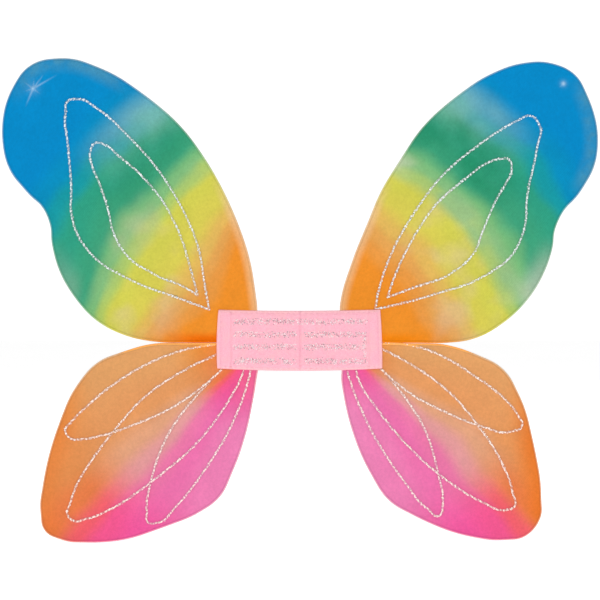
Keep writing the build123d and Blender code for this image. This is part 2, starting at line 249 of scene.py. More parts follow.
def ring_points(loop, segs, depth):
    """Points at one distance inside a loop, where there is room for them."""
    normal = normals(loop)
    both = np.concatenate([loop + normal * depth, loop - normal * depth])
    return both[inside(both, segs) & (distance(both, segs) > 0.93 * depth)]


def grid_points(low, high, spacing):
    """Points in staggered rows over a rectangle."""
    rows = np.arange(low[1], high[1], spacing * 0.866)
    columns = np.arange(low[0], high[0], spacing)
    x, z = np.meshgrid(columns, rows)
    x = x + (np.arange(len(rows)) % 2)[:, None] * spacing / 2
    return np.stack([x.ravel(), z.ravel()], axis=1)


def extent(loops):
    """The lowest and highest corners of a rectangle round the loops."""
    every = np.concatenate(loops)
    return every.min(axis=0), every.max(axis=0)


def scattered(loops, density, margin, draw):
    """Random points inside the loops, drawn over a rectangle that is a margin larger."""
    low, high = extent(loops)
    low, high = low - margin, high + margin
    tries = draw.uniform(low, high, size=(int(np.prod(high - low) * density), 2))
    return tries[inside(tries, segments(loops))]


# ---- mesh parts: (points, faces, attributes), joined into a piece by make_piece ----
def at_depth(points, y):
    """(x, z) points with their depths, as (x, y, z)."""
    return np.stack([points[:, 0], y, points[:, 1]], axis=1)


def spread(loops, segs, spacing, rings, dense):
    """The points of a relief: its loops, rings inside them, and a grid further in, with finer
    ones in the dense places."""
    grid = grid_points(*extent(loops), spacing)
    for centre, radius, _ in dense:
        grid = grid[np.linalg.norm(grid - centre, axis=1) > radius]
    for centre, radius, fine in dense:
        extra = grid_points(np.subtract(centre, radius), np.add(centre, radius), fine)
        grid = np.concatenate([grid, extra[np.linalg.norm(extra - centre, axis=1) <= radius]])
    grid = grid[inside(grid, segs)]
    grid = grid[distance(grid, segs) > rings[-1] + 0.45 * spacing]
    ringed = [ring_points(loop, segs, depth) for depth in rings for loop in loops]
    return np.concatenate([*loops, *ringed, grid])


def relief(loops, front, back, spacing, rings, paint, seam_x=None, dense=()):
    """A closed form over an outline. front and back give depths from (points, distance to the
    edge). They meet at the edge, except along a straight seam at seam_x, which gets a wall. paint
    holds functions of the same kind, whose values are kept on the mesh by name. dense holds
    (centre, radius, spacing) of places with finer points."""
    loops = [refined(loop, spacing * 0.6) for loop in loops]
    segs = segments(loops)
    edge = segs
    if seam_x is not None:
        edge = segs[np.abs(segs[:, :, 0] - seam_x).max(axis=1) > 1e-3]
    starts = np.cumsum([0] + [len(loop) for loop in loops])
    kept_edges = [(int(start + i), int(start + (i + 1) % len(loop)))
                  for start, loop in zip(starts, loops) for i in range(len(loop))]
    spots = spread(loops, segs, spacing, rings, dense)
    made = geometry.delaunay_2d_cdt([Vector(p) for p in spots.tolist()], kept_edges, [], 0, 1e-5)
    points = np.array([tuple(p) for p in made[0]])
    faces = np.array(made[2])
    faces = faces[inside(points[faces].mean(axis=1), segs)]

    depth = distance(points, edge)
    near, far = front(points, depth), back(points, depth)
    shared = depth < 1e-4
    near[shared] = far[shared] = (near[shared] + far[shared]) / 2
    behind = np.where(shared, np.arange(len(points)), len(points) + np.cumsum(~shared) - 1)
    sides = {(int(a), int(b)) for f in faces for a, b in zip(f, np.roll(f, -1))}
    walls = [(b, a, int(behind[a]), int(behind[b])) for a, b in sides if (b, a) not in sides]
    walls = [tuple(dict.fromkeys(wall)) for wall in walls]
    polygons = faces.tolist() + behind[faces][:, ::-1].tolist() + [w for w in walls if len(w) > 2]
    verts = np.concatenate([at_depth(points, near), at_depth(points, far)[~shared]])
    values = {"edge_distance": depth, **{name: of(points, depth) for name, of in paint.items()}}
    values = {name: np.concatenate([value, value[~shared]]) for name, value in values.items()}
    return verts, polygons, values


def sweep(path, across, section):
    """A closed tube: the section's (u, v) points are carried along the path, u along the fixed
    direction across and v square to it and to the path."""
    path, across = np.array(path, float), np.array(across, float)
    up = np.cross(unit(np.gradient(path, axis=0)), across)
    u, v = section[:, 0][None, :, None], section[:, 1][None, :, None]
    rings = path[:, None] + u * across + v * up[:, None]
    n, k = len(path), len(section)
    faces = [(i * k + j, i * k + (j + 1) % k, (i + 1) * k + (j + 1) % k, (i + 1) * k + j)
             for i in range(n - 1) for j in range(k)]
    faces += [tuple(range(k))[::-1], tuple((n - 1) * k + j for j in range(k))]
    return rings.reshape(-1, 3), faces, {}


def circle(radius, sides=7):
    turn = np.arange(sides) * 2 * np.pi / sides
    return radius * np.stack([np.cos(turn), np.sin(turn)], axis=1)


def flakes(places, size, lean, draw):
    """Thin six-sided grains of glitter, each tilted its own way, about places of (x, y, z)."""
    count = len(places)
    normal = unit(np.array([0.0, -1.0, 0.0]) + lean * draw.normal(size=(count, 3)))
    u = unit(np.cross(normal, draw.normal(size=(count, 3))))
    v = np.cross(normal, u)
    radius = draw.uniform(*size, size=count)[:, None]
    ring = [places + radius * (math.cos(a) * u + math.sin(a) * v) for a in np.arange(6) * np.pi / 3]
    tips = [places + 0.32 * radius * normal, places - 0.32 * radius * normal]
    verts = np.stack(ring + tips, axis=1).reshape(-1, 3)
    grain = [(i, (i + 1) % 6, 6) for i in range(6)] + [((i + 1) % 6, i, 7) for i in range(6)]
    faces = (np.array(grain)[None] + 8 * np.arange(count)[:, None, None]).reshape(-1, 3).tolist()
    return verts, faces, {"glint": np.repeat(draw.uniform(0, 1, count), 8)}


def new_object(name, data):
    """An object of this data, in the scene."""
    made = bpy.data.objects.new(name, data)
    bpy.context.scene.collection.objects.link(made)
    return made


def make_piece(name, parts):
    """One object from (mesh part, material) pairs, shaded smooth except at sharp corners."""
    verts, faces, which, offset = [], [], [], 0
    columns = {key: [] for (_, _, values), _ in parts for key in values}
    materials = list(dict.fromkeys(material for _, material in parts))
    for (points, polygons, values), material in parts:
        verts.append(points)
        faces += [tuple(i + offset for i in polygon) for polygon in polygons]
        which += [materials.index(material)] * len(polygons)
        for key, column in columns.items():
            column.append(values.get(key, np.zeros(len(points))))
        offset += len(points)
    mesh = bpy.data.meshes.new(name)
    mesh.from_pydata((np.concatenate(verts) * MM).tolist(), [], faces)
    for material in materials:
        mesh.materials.append(material)
    mesh.polygons.foreach_set("material_index", which)
    for key, column in columns.items():
        mesh.attributes.new(key, "FLOAT", "POINT").data.foreach_set("value", np.concatenate(column))
    tidy = bmesh.new()
    tidy.from_mesh(mesh)
    bmesh.ops.recalc_face_normals(tidy, faces=tidy.faces)
    tidy.to_mesh(mesh)
    tidy.free()
    mesh.shade_smooth()
    mesh.set_sharp_from_angle(angle=math.radians(65))
    piece = new_object(name, mesh)
    return piece


# ---- materials ----
def colour(red, green, blue):
    """Screen colour, 0 to 255, as linear light."""
    linear = [c / 12.92 if c <= 0.04045 else ((c + 0.055) / 1.055) ** 2.4
              for c in (red / 255, green / 255, blue / 255)]
    return (*linear, 1.0)


def put(node, inputs):
    """Sets a node's inputs, or links them."""
    for key, value in inputs.items():
        if isinstance(value, bpy.types.NodeSocket):
            node.id_data.links.new(value, node.inputs[key])
        else:
            node.inputs[key].default_value = value


def new_material(name, roughness=0.5, specular=0.5, sheen=0.0, metallic=0.0):
    """A material, its shader, and where a point is on the piece, in metres."""
    material = bpy.data.materials.new(name)
    material.use_nodes = True
    shader = material.node_tree.nodes["Principled BSDF"]
    put(shader, {"Roughness": roughness, "Specular IOR Level": specular, "Sheen Weight": sheen,
                 "Metallic": metallic})
    return material, shader, add("TexCoord", {}, out="Object", beside=shader)


def add(kind, inputs, out=0, beside=None, **settings):
    """A new node's output, after its inputs are set or linked. It goes in the same tree as beside,
    or else as its linked inputs."""
    beside = beside or next(v for v in inputs.values() if isinstance(v, bpy.types.NodeSocket))
    made = beside.id_data.nodes.new("ShaderNode" + kind)
    for key, value in settings.items():
        setattr(made, key, value)
    put(made, inputs)
    return made.outputs[out]


def maths(operation, *values):
    return add("Math", dict(enumerate(values)), operation=operation)


def product(first, *others):
    """All the values multiplied together."""
    for other in others:
        first = maths("MULTIPLY", first, other)
    return first


def between(value, low, high, to_low=0.0, to_high=1.0):
    """value turned smoothly from one span into another."""
    spans = {"From Min": low, "From Max": high, "To Min": to_low, "To Max": to_high}
    return add("MapRange", {"Value": value, **spans}, interpolation_type="SMOOTHSTEP")


def separate(where, axis):
    """One coordinate of a place."""
    return add("SeparateXYZ", {"Vector": where}, out=axis)


def noise(where, size, detail=2.0, roughness=0.5):
    """Noise from 0 to 1 whose patches are about size metres across."""
    return add("TexNoise", {"Vector": where, "Scale": 1 / size, "Detail": detail, "Roughness": roughness})


def ramp(value, stops, end):
    """Colours placed along a value from 0 to end. The stops are (value, colour)."""
    made = value.id_data.nodes.new("ShaderNodeValToRGB")
    put(made, {"Fac": maths("DIVIDE", value, end)})
    made.color_ramp.interpolation = "EASE"
    elements = made.color_ramp.elements
    while len(elements) < len(stops):
        elements.new(0.5)
    for element, (at, _) in zip(elements, stops):
        element.position = at / end
    for element, (_, shade) in zip(elements, stops):
        element.color = colour(*shade)
    return made.outputs["Color"]


def mix(factor, a, b, blend="MIX"):
    """Two colours mixed. The numbers are the places of a Mix node's sockets for colours."""
    return add("Mix", {0: factor, 6: a, 7: b}, out=2, data_type="RGBA", blend_type=blend)


def tint(amount, dye, shade):
    """A dye with an amount of one screen colour laid over it."""
    return mix(amount, dye, colour(*shade))


def attribute(where, name):
    """A value kept on the mesh."""
    return add("Attribute", {}, out="Fac", beside=where, attribute_name=name)


def coat(shader, shade, height, deep, strength):
    """Gives a shader its colour, and fine relief as many metres deep."""
    bump = add("Bump", {"Height": height, "Distance": deep, "Strength": strength})
    put(shader, {"Base Color": shade, "Normal": bump})


def threads(where, period, angle):
    """Fine parallel lines, 0 to 1, across the XZ plane at an angle."""
    turned = add("Mapping", {"Vector": where, "Rotation": (0, math.radians(angle), 0)})
    lines = {"Vector": turned, "Scale": 0.314 / period, "Distortion": 1.2, "Detail": 2.0,
             "Detail Scale": 2.0}
    return add("TexWave", lines, out="Fac", wave_type="BANDS", bands_direction="X")


def window(value, start, full, falling, end):
    """1 from full to falling, and 0 outside start to end."""
    return product(between(value, start, full), between(value, falling, end, 1, 0))


def blotches(where, size, low, high, least, most):
    """A patchy strength, from least to most as noise of this size goes from low to high."""
    return between(noise(where, size), low, high, least, most)


def patch(dye, spot, along, *strengths):
    """The dye with a patch laid over it. The spot is its window along a value, and its colour."""
    span, shade = spot
    return tint(product(window(along, *span), *strengths), dye, shade)


def polar(where, centre):
    """Distance from a throat, and the angle from straight down to straight out, in degrees."""
    out = maths("SUBTRACT", maths("ABSOLUTE", separate(where, "X")), centre[0] * MM)
    up = maths("SUBTRACT", separate(where, "Z"), centre[1] * MM)
    reach = maths("SQRT", maths("ADD", product(out, out), product(up, up)))
    angle = maths("DEGREES", maths("ARCTAN2", out, product(up, -1.0)))
    return reach, angle


def top_highlight(where):
    """The painted highlight where a lower wing's nylon rolls over its wire, under the upper wing."""
    band = window(separate(where, "Z"), -0.0125, -0.0085, -0.0026, -0.0022)
    return product(band, between(attribute(where, "edge_distance"), 1.1, 2.0, 0.9, 0.0))


def nylon(name, dye_of, settings, rim_pale):
    """Dyed nylon: adds the rim, mottling, a painted highlight at the puckers and the knit to a wing's
    dye, with a painted highlight along a lower wing's top edge. The rim is paler where the nylon is
    stretched over its wire, with a painted shade line inside it."""
    material, shader, where = new_material(name, 0.68, 0.04)
    from_edge = attribute(where, "edge_distance")
    off_gap = between(maths("ABSOLUTE", separate(where, "Z")), 0.007, 0.014, 0.0, rim_pale)
    pale_rim = product(between(from_edge, 0.6, 1.5, 1, 0), off_gap)
    dye = tint(pale_rim, dye_of(where, **settings), RIM_PALE)
    mottled = between(noise(where, 0.026, 4.0, 0.65), 0.35, 0.75, 0.85, 0.91)
    grain = between(noise(where, 0.0022, 3.0, 0.75), 0.25, 0.75, 0.93, 1.05)
    # Painted shade: a darker line just inside the rim, where the nylon leaves the wire.
    line = product(window(from_edge, 0.9, 1.4, 1.9, 2.7), RIM_SHADE_LINE)
    shade = product(grain, mottled, maths("SUBTRACT", 1.0, line))
    grey = add("CombineColor", {"Red": shade, "Green": shade, "Blue": shade})
    dye = mix(1.0, dye, grey, "MULTIPLY")
    # Painted highlight along the top edge of a lower wing, where its nylon rolls over the wire.
    dye = tint(top_highlight(where), dye, TOP_HIGHLIGHT)
    # Painted highlight at the puckers, along their creases and about their knots.
    dye = tint(attribute(where, "pale"), dye, PUCKER_HIGHLIGHT)
    knit = product(threads(where, KNIT_PERIOD, 55), threads(where, KNIT_PERIOD, -55))
    coat(shader, dye, knit, 0.00012, 0.5)
    return material


# The bands of dye, as (place, screen colour): millimetres from the throat on an upper wing, and
# degrees up from straight down on a lower one, deep and pale.
UPPER_DYE = [
    (42, (242, 147, 44)), (56, (236, 156, 70)), (68, (232, 167, 86)), (80, (229, 186, 94)),
    (99, (219, 209, 86)), (120, (212, 210, 84)), (131, (178, 205, 104)), (141, (124, 190, 124)),
    (157, (62, 164, 125)), (184, (48, 162, 133)), (199, (22, 155, 166)), (213, (4, 143, 192)),
    (236, (1, 139, 202)),
]
LOWER_DEEP = [
    (0, (243, 118, 176)), (22, (243, 106, 168)), (34, (246, 94, 165)), (41, (248, 94, 152)),
    (45, (246, 102, 114)), (50, (235, 130, 76)), (58, (230, 147, 84)), (88, (238, 150, 62)),
]
LOWER_PALE = [
    (0, (243, 140, 190)), (20, (242, 132, 185)), (32, (241, 118, 178)), (39, (240, 124, 173)),
    (45, (232, 160, 160)), (52, (231, 168, 130)), (61, (233, 159, 100)), (84, (229, 165, 104)),
]
# Patches in the upper dye: where each starts, is full, starts to fade and ends, in metres from
# the throat, and its colour.
MILKY = ((0.164, 0.194, 0.206, 0.226), (160, 208, 186))
CREAM = ((0.06, 0.09, 0.13, 0.16), (224, 200, 170))
LOW_END = ((0.148, 0.162, 0.182, 0.205), (192, 207, 184))
DENSE = ((0.146, 0.162, 0.175, 0.196), (26, 138, 98))
SALLOW_SPAN = (0.12, 0.133, 0.139, 0.15)
SALLOW_GREEN = (150, 194, 138)
SALLOW_CREAM = (210, 216, 184)
HAZE = (96, 152, 160)
INNER_PEACH = (246, 206, 158)
FAR_ORANGE = (238, 122, 34)
THROAT_RED = (250, 88, 76)
# Lines along the rims, and the creases of the puckers: the paler rim, the painted shade line inside it,
# the painted highlight along a lower wing's top edge, and the painted highlight on the puckers.
RIM_PALE = (255, 248, 230)
RIM_SHADE_LINE = 0.14
TOP_HIGHLIGHT = (252, 176, 92)
PUCKER_HIGHLIGHT = (214, 238, 250)
KNIT_PERIOD = 0.0011


def band_shift(reach, angle, shifts, bows):
    """How far outward the bands of an upper wing's dye are moved, in metres."""
    near, middle, far = (value * MM for value in shifts)
    shift = maths("ADD", between(reach, 0.085, 0.13, near, middle),
                  between(reach, 0.145, 0.2, 0.0, far - middle))
    near_bow, far_bow, middle_angle = bows
    aside = maths("DIVIDE", maths("SUBTRACT", angle, middle_angle), 30.0)
    bend = maths("SUBTRACT", product(aside, aside), 0.38)
    bow = product(bend, between(reach, 0.085, 0.13, near_bow * MM, far_bow * MM))
    return maths("ADD", shift, bow)


def upper_dye(where, shifts, bows, denseness, fairness, haze, lowest):
    """Bands of dye round the throat: orange, yellow, green and blue. The shifts, in millimetres,
    move the bands near the throat, in the middle and far out. The bows, near and further out,
    carry their ends outward either side of an angle. denseness is for the dark patches in the
    green, fairness for how pale the dye is between yellow and green, and haze for how grey the
    rim is about an angle. lowest colours the edge by the panel."""
    reach, angle = polar(where, THROAT)
    from_edge = attribute(where, "edge_distance")
    placed = maths("SUBTRACT", reach, band_shift(reach, angle, shifts, bows))
    wander = product(maths("SUBTRACT", noise(where, 0.07), 0.5), 0.034)
    dye = ramp(maths("DIVIDE", maths("ADD", placed, wander), MM), UPPER_DYE, 300)
    dye = patch(dye, MILKY, placed, between(angle, 130, 151),
                blotches(where, 0.05, 0.3, 0.6, 0.15, 0.45))
    dye = patch(dye, CREAM, reach, between(angle, 138, 150, 1, 0),
                blotches(where, 0.04, 0.45, 0.7, 0.0, 0.35))
    fair = between(from_edge, 3.0, 22.0, fairness, 0.0)
    dye = patch(dye, LOW_END, reach, fair, between(angle, 103, 116, 0.75, 0.0))
    sallow = product(window(placed, *SALLOW_SPAN), between(angle, 96, 108),
                     blotches(where, 0.03, 0.3, 0.6, fairness / 3, fairness))
    dye = mix(sallow, dye, mix(fair, colour(*SALLOW_GREEN), colour(*SALLOW_CREAM)))
    dye = patch(dye, DENSE, placed, between(angle, 122, 140),
                blotches(where, 0.033, 0.36, 0.6, denseness / 3, denseness))
    greyness, middle = haze
    hazy = product(between(from_edge, 3.0, 15.0, greyness, 0.0),
                   window(angle, middle - 11, middle - 4, middle + 5, middle + 11),
                   between(reach, 0.222, 0.245), blotches(where, 0.012, 0.3, 0.6, 0.4, 1.0))
    dye = tint(hazy, dye, HAZE)
    inner = product(between(from_edge, 1.5, 9.0, 0.55, 0.0), between(angle, 145, 158),
                    between(reach, 0.1, 0.14, 1, 0))
    dye = tint(inner, dye, INNER_PEACH)
    low = product(between(separate(where, "Z"), 0.0005, 0.009, 1, 0), between(reach, 0.05, 0.088, 1, 0))
    return tint(low, dye, lowest)


def lower_dye(where, shifts, deep_to, redness, outer_orange):
    """Pink underneath, orange on top, deeper near the throat and the far end. The shifts, in
    degrees, move the join between them up, near the throat and further out. The colour is deep as
    far as deep_to, in millimetres. redness is for the part by the throat and outer_orange for the
    strip along the far edge."""
    reach, angle = polar(where, LOWER_THROAT)
    wander = product(maths("SUBTRACT", noise(where, 0.06), 0.5), 6.0)
    lift = between(reach, 0.12, 0.165, *shifts)
    turned = maths("ADD", maths("SUBTRACT", angle, lift), wander)
    deep = ramp(turned, LOWER_DEEP, 90)
    pale = ramp(turned, LOWER_PALE, 90)
    dye = mix(window(reach, (deep_to - 35) * MM, deep_to * MM, 0.14, 0.19), deep, pale)
    outer = product(between(attribute(where, "edge_distance"), 3.0, 22.0, outer_orange, 0.0),
                    between(reach, 0.14, 0.185), between(turned, 46, 51))
    dye = tint(outer, dye, FAR_ORANGE)
    return tint(between(reach, 0.028, 0.062, redness, 0.0), dye, THROAT_RED)


# The glue between its beads, and the felt.
GLUE_DULL = (150, 146, 150)
FELT_DARK = (242, 166, 186)
FELT_LIGHT = (255, 192, 206)
FELT_CLUMP = (252, 186, 190)
# Painted highlight for the felt's rim.
FELT_RIM_HIGHLIGHT = (255, 206, 200)
FELT_GROOVE = (214, 146, 166)


def glitter_glue(name, dye_of, settings, bright):
    """The beaded glue line that holds the grains: white where it stands up, and between its beads
    clear enough to show the dye."""
    material, shader, where = new_material(name, 0.4, 0.4)
    dull = tint(0.4, dye_of(where, **settings), GLUE_DULL)
    speck = between(noise(where, 0.0007), 0.35, 0.65, -0.2, 0.2)
    white = between(maths("ADD", attribute(where, "lump"), speck), 0.25, 0.8)
    shade = tint(white, dull, bright)
    if dye_of is lower_dye:
        # Painted highlight on the glue along the top edge of a lower wing.
        shade = tint(between(separate(where, "Z"), -0.0068, -0.0048), shade, TOP_HIGHLIGHT)
    coat(shader, shade, noise(where, 0.0006), 0.0002, 0.6)
    return material


def glitter_grain(name, shades, metallic):
    """Foil grains, each with its own painted glint, from the darkest of the shades to the lightest."""
    material, shader, where = new_material(name, metallic=metallic)
    # Painted glint: each grain's brightness is drawn at random.
    shade = ramp(attribute(where, "glint"), list(zip((0.0, 0.25, 0.5, 1.0), shades)), 1)
    rough = between(noise(where, 0.0004), 0.3, 0.7, 0.22, 0.42)
    put(shader, {"Base Color": shade, "Roughness": rough})
    return material


def felt():
    """Pink felt: fibres and clumps, a painted highlight along its rim, and painted shade in its grooves.
    """
    material, shader, where = new_material("felt", 0.95, 0.12, sheen=0.25)
    put(shader, {"Sheen Roughness": 0.6})
    fibres = noise(where, 0.0011, 6.0, 0.75)
    clumps = noise(where, 0.009, 3.0, 0.6)
    shade = mix(between(fibres, 0.3, 0.72), colour(*FELT_DARK), colour(*FELT_LIGHT))
    shade = tint(between(clumps, 0.4, 0.75, 0.0, 0.5), shade, FELT_CLUMP)
    # Painted highlight along the felt's rim.
    shade = tint(between(attribute(where, "edge_distance"), 1.0, 3.5, 0.35, 0.0), shade, FELT_RIM_HIGHLIGHT)
    shade = tint(product(attribute(where, "groove"), 0.4), shade, FELT_GROOVE)
    lint = noise(where, 0.0005, 5.0, 0.8)
    coat(shader, shade, maths("ADD", fibres, lint), 0.00035, 0.55)
    return material


def spun(name, dark, light, period=0.0007):
    """Twisted thread."""
    material, shader, where = new_material(name, 0.6, 0.3, sheen=0.15)
    twist = threads(where, period, 38)
    coat(shader, mix(twist, colour(*dark), colour(*light)), twist, 0.00012, 0.7)
    return material


def woven(name, dark, light, period, rough=0.85):
    """Cloth tape or elastic, with its threads crossing."""
    material, shader, where = new_material(name, rough, 0.2, sheen=0.2)
    warp = threads(where, period, 0)
    run = maths("ADD", separate(where, "Z"), product(separate(where, "Y"), 0.6))
    weft = maths("ABSOLUTE", maths("SINE", product(run, math.pi / period)))
    cloth = product(between(warp, 0.0, 1.0, 0.5, 1.0), between(weft, 0.0, 1.0, 0.45, 1.0))
    soiled = between(noise(where, 0.02, 3.0), 0.45, 0.8, 0.0, 0.25)
    shade = mix(cloth, colour(*dark), colour(*light))
    coat(shader, tint(soiled, shade, dark), cloth, 0.00025, 0.8)
    return material


def steel():
    """Drawn wire with faint lengthwise scratches and dull patches."""
    material, shader, where = new_material("wire", metallic=1.0)
    dull = noise(where, 0.006, 4.0)
    put(shader, {"Roughness": between(dull, 0.3, 0.7, 0.26, 0.48)})
    shade = mix(dull, colour(150, 152, 156), colour(206, 207, 210))
    coat(shader, shade, noise(where, 0.0005), 0.00003, 0.5)
    return material


def floor_material():
    """A plain floor, near white."""
    material, shader, where = new_material("floor", 0.9, 0.1)
    shade = mix(noise(where, 0.4), colour(250, 250, 250), colour(255, 255, 255))
    put(shader, {"Base Color": shade, "Emission Color": (1, 1, 1, 1), "Emission Strength": 0.5})
    return material


# ---- wings ----
# Where the nylon was caught with a stitch near each upper tip: in from the cover's outermost x and
# down from its top. Each crease that runs out of it is a direction, a length and a width, and gets a
# painted highlight; glow is the width and strength of the painted highlight spot about it.
PUCKERS = {
    "left_upper": {
        "inset": (26.0, 25.5), "radius": 26.0, "height": 0.9, "glow": (5.0, 0.08),
        "creases": [
            ((0.87, 0.5), 24.0, 0.8), ((0.6, 0.8), 16.0, 0.7), ((-0.38, -0.92), 17.0, 0.9),
            ((-0.8, 0.6), 10.0, 0.7), ((0.8, -0.6), 8.0, 0.7), ((-0.9, -0.3), 8.0, 0.7),
            ((0.1, 1.0), 9.0, 0.7),
        ],
    },
    "right_upper": {
        "inset": (29.0, 18.5), "radius": 12.0, "height": 0.35, "glow": (3.0, 0.1),
        "creases": [((-0.7, -0.7), 5.0, 0.9), ((0.2, 1.0), 3.0, 0.9)],
    },
}


def pucker_centre(name):
    low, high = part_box(name + "_cover")
    inset, drop = PUCKERS[name]["inset"]
    outer = low.x / MM + inset if name.startswith("left") else high.x / MM - inset
    return np.array([outer, high.z / MM - drop])


def crease_lines(points, name):
    """How strong the painted highlight on the nylon is at a pucker, most along its creases and at its
    knot; the relief raises the creases by it too.
    """
    offset = points - pucker_centre(name)
    reach = np.linalg.norm(offset, axis=1)
    glow_width, glow = PUCKERS[name]["glow"]
    pale = 0.4 * hump(reach, 1.6) + glow * hump(reach, glow_width)
    for direction, length, width in PUCKERS[name]["creases"]:
        way = np.array(direction) / np.hypot(*direction)
        along = offset @ way
        aside = np.abs(offset @ np.array([-way[1], way[0]]))
        fade = np.clip(1 - along / length, 0, 1) * (along > 0)
        pale = np.maximum(pale, 0.36 * fade * hump(aside, width * (0.4 + 0.6 * fade)))
    return pale


def nylon_relief(name, side):
    """How far the stretched nylon stands forward of flat: gathers by the throat, and any pucker."""
    centre = np.array([side * THROAT[0], THROAT[1] if "upper" in name else LOWER_THROAT[1]])

    def forward(points, depth):
        offset = points - centre
        reach = np.linalg.norm(offset, axis=1)
        angle = np.arctan2(offset[:, 1], np.abs(offset[:, 0]))
        wobble = waves(points, 60, 11)
        gathers = np.sin(34 * angle + 2.2 * wobble) * np.exp(-reach / 48) * smoothstep(reach / 30)
        height = 0.75 * gathers + 0.10 * waves(points, 34, 12) + 0.05 * waves(points, 9, 13)
        if name in PUCKERS:
            spot = points - pucker_centre(name)
            away = np.linalg.norm(spot, axis=1)
            turn = np.arctan2(spot[:, 1], spot[:, 0])
            size = PUCKERS[name]["height"]
            folds = 0.3 * np.cos(9 * turn + 0.8) * np.exp(-away / 6) * smoothstep(away / 2)
            height += size * (hump(away, 1.5) + folds + 0.4 * crease_lines(points, name)
                              - 0.35 * hump(away, 5))
        return height * smoothstep((depth - 1.0) / 7)
    return forward


def membrane_half(depth):
    """Half the cover's thickness: round over the wire, then thin."""
    over = np.sqrt(np.maximum(RIM_RADIUS ** 2 - (RIM_RADIUS - np.minimum(depth, RIM_RADIUS)) ** 2, 0))
    return over - (RIM_RADIUS - NYLON_HALF) * smoothstep((depth - RIM_RADIUS) / RIM_FALL)


def membrane(name, side, material):
    """One wing's nylon bag, stretched over its wire."""
    loops = [grown(loop, NYLON_EASE) for loop in outlines(name + "_cover", COVER_FRONT)]
    forward = nylon_relief(name, side)
    puckered = name in PUCKERS

    # The pale values are the painted highlight at the pucker, kept on the mesh.
    def pale(points, depth):
        return crease_lines(points, name) * smoothstep((depth - 2) / 2) if puckered else 0 * depth

    form = relief(
        loops,
        lambda p, d: WIRE_Y - membrane_half(d) - forward(p, d),
        lambda p, d: WIRE_Y + membrane_half(d) - forward(p, d),
        NYLON_SPACING, RIM_RINGS, {"pale": pale},
        dense=[(pucker_centre(name), PUCKERS[name]["radius"], PUCKER_SPACING)] if puckered else [],
    )
    word, level = name.split("_")
    piece = make_piece(name + "_nylon", [(form, material)])
    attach(piece, word + "_half")
    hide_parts(name + "_cover")
    abs(signed_area(loops[0])) * MM * MM
    return forward


# ---- glitter ----
def glitter_vein(node, wing_forward, glue, grain, seed):
    """A glue line over a vein's footprint, set with grains."""
    loops = outlines(node, VEIN_FRONT)
    draw = np.random.default_rng(seed)
    rise = BEAD_BASE - VEIN_FRONT - 0.1

    def lump(points, depth):
        bare = 0.85 * smoothstep((points[:, 1] + 6.5) / 2) if "lower" in node else 0.0
        return np.clip(0.45 + 0.95 * waves(points, 2.4, seed) - bare, 0, 1) * np.clip(depth / 0.4, 0, 1)

    def base(points, depth):
        return BEAD_BASE - wing_forward(points, WELL_INSIDE)

    def crown(points, depth):
        share = 1 - np.clip(depth / BEAD_HALF_WIDTH, 0, 1)
        return base(points, depth) - rise * np.sqrt(1 - share ** 2) * (0.75 + 0.4 * lump(points, depth))

    bead = relief(loops, crown, base, BEAD_SPACING, BEAD_RINGS, {"lump": lump})
    tries = scattered(loops, GRAIN_DENSITY, 0.3, draw)
    depth = distance(tries, segments(loops))
    kept = (depth > 0.1) & (draw.uniform(0, 1, len(tries)) < 0.08 + 0.92 * lump(tries, depth))
    tries, depth = tries[kept], depth[kept]
    grains = flakes(at_depth(tries, crown(tries, depth) - 0.02), GRAIN_SIZE, 0.4, draw)
    piece = make_piece(node + "_glitter", [(bead, glue), (grains, grain)])
    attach(piece, node.split("_")[0] + "_half")
    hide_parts(node)


def strewn(loops, surface, draw, seed):
    """Grains thrown in uneven patches over an area of felt, and a little way beyond it."""
    tries = scattered(loops, STREWN_DENSITY, 0.0, draw)
    patches = 0.5 + 0.6 * waves(tries, 8, seed) + 0.35 * waves(tries, 2.2, seed + 1)
    chance = np.clip(1 - STREWN_PATCHINESS + STREWN_PATCHINESS * patches, 0.06, 1)
    tries = tries[draw.uniform(0, 1, len(tries)) < chance]
    tries = tries + draw.normal(0, STREWN_STRAY, tries.shape)
    depth = surface(tries) - draw.uniform(0.02, 0.16, len(tries))
    return flakes(at_depth(tries, depth), STREWN_SIZE, 0.5, draw)


# ---- felt panel ----
def half_outline(word):
    """The outline of one half of the panel, carried in to the middle of the crease."""
    loop = outlines(word + "_front_felt", FELT_INNER)[0]
    bottom, top = (corner.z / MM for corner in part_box("crease_front_felt"))
    at_seam = np.abs(loop[:, 0]) < np.abs(loop[:, 0]).min() + 0.01
    loop[at_seam, 1] = np.where(loop[at_seam, 1] > 0, top, bottom)
    loop[at_seam, 0] = 0.0
    return loop


